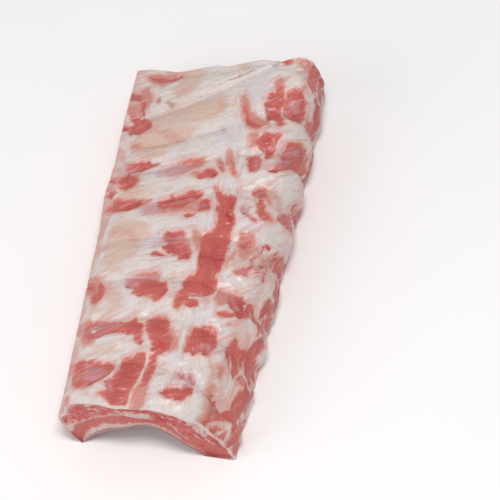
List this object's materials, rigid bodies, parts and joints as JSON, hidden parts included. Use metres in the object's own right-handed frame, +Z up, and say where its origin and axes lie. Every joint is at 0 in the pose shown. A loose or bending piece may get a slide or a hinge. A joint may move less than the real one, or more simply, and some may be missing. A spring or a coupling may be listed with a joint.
{
  "type": "raw rack of pork back ribs",
  "caption": "Raw rack of pork back ribs lying outer side up: an arched slab of red meat under patchy white fat, with rib bones running through it.",
  "frame": {"origin": "under the middle of the rack, on the surface that it lies on", "axes": "+Z up; +Y along the rack, from the near cut end with the open arch to the far cut end; +X across it, from the sawn rib tips to the loin side"},
  "size_m": [0.1207, 0.255, 0.0506],
  "materials": {
    "meat_and_fat": "satin",
    "bone": "satin"
  },
  "bodies": {
    "root": {"meat": "meat_and_fat", "rib_bone_1": "bone", "rib_bone_2": "bone", "rib_bone_3": "bone", "rib_bone_4": "bone", "rib_bone_5": "bone", "rib_bone_6": "bone", "rib_bone_7": "bone", "rib_bone_8": "bone", "rib_bone_9": "bone"}
  },
  "joints": []
}
